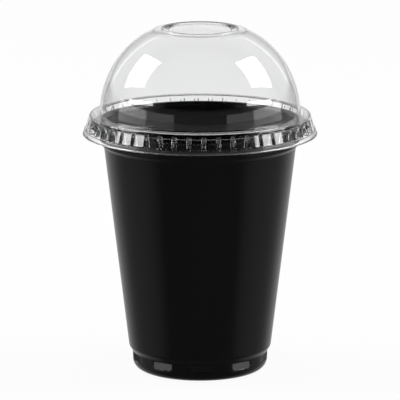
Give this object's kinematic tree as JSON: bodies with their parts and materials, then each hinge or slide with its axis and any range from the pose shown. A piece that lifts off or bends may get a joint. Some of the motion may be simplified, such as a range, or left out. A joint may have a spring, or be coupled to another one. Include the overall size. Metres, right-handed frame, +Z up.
{
  "type": "plastic cup with dome lid",
  "caption": "Tapered black plastic drinks cup with a rolled rim and a stepped foot, closed by a clear push-on dome lid with a round drinking hole and a fluted skirt.",
  "frame": {"origin": "middle of the ring that the cup stands on, at floor level", "axes": "+Z up along the axis of cup and lid; the pictured front is towards -Y"},
  "size_m": [0.1038, 0.1038, 0.1539],
  "materials": {
    "cup_plastic": "glossy black moulded plastic",
    "lid_plastic": "clear glossy formed sheet"
  },
  "bodies": {
    "cup": {"cup": "cup_plastic"},
    "lid": {"dome_lid": "lid_plastic"}
  },
  "joints": [
    {"name": "lid_lift", "type": "slide", "parent": "cup", "child": "lid", "axis": [0, 0, 1], "range_m": [0, 0.06]}
  ]
}
